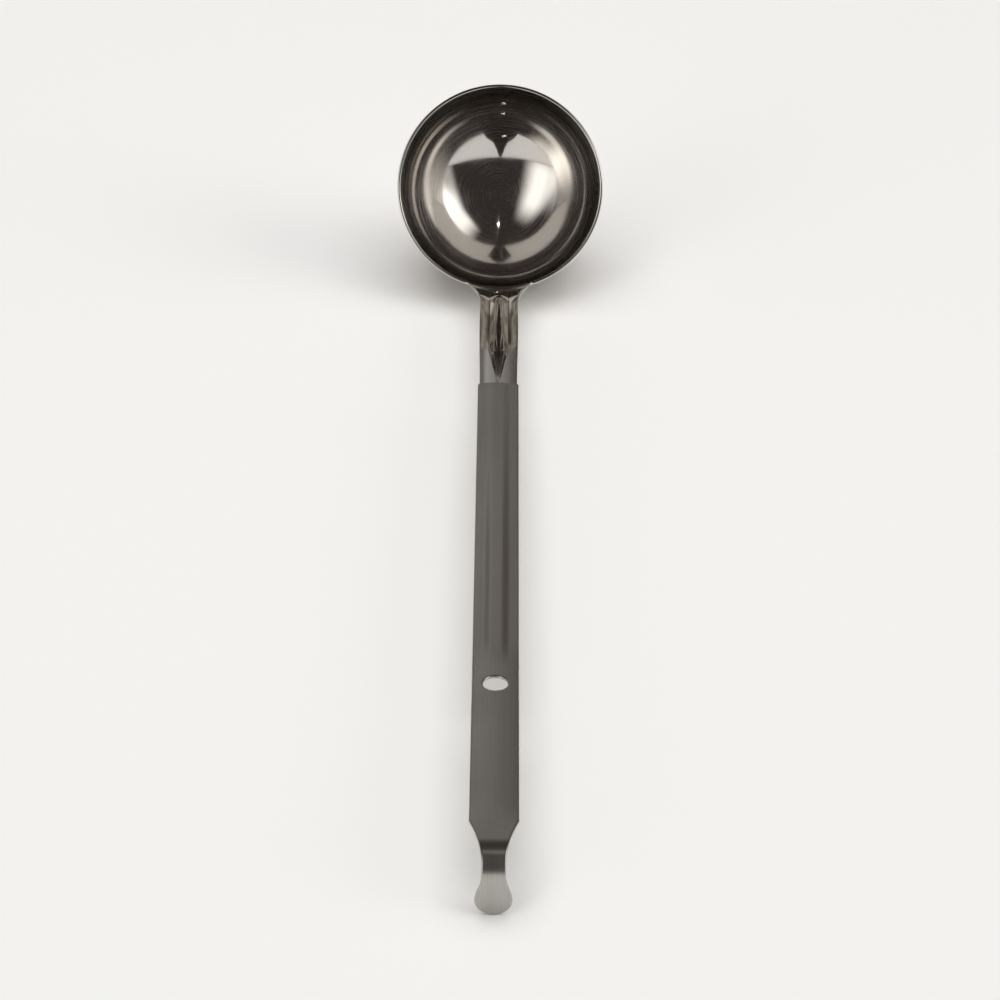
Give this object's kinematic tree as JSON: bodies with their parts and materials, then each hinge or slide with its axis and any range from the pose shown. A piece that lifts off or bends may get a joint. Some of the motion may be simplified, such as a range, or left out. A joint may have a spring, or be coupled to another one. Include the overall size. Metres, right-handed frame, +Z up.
{
  "type": "serving ladle",
  "caption": "Round-bowled steel ladle with a pressed V-groove neck, a satin strip handle with a hanging hole and a hook over its end.",
  "frame": {"origin": "middle of the bounding box, on the table the ladle lies on", "axes": "+Y from the hook towards the bowl, +X to the right seen from the hook end, +Z up as the ladle lies on its bowl and its hook"},
  "size_m": [0.076, 0.421, 0.0733],
  "materials": {
    "polished_steel": "mirror-polished stainless sheet",
    "satin_steel": "satin stainless sheet, grain along the handle",
    "weld_metal": "as-welded stainless, hidden"
  },
  "bodies": {
    "root": {"bowl_and_neck": "polished_steel", "handle": "satin_steel", "spot_weld_1": "weld_metal", "spot_weld_2": "weld_metal", "spot_weld_3": "weld_metal"}
  },
  "joints": []
}
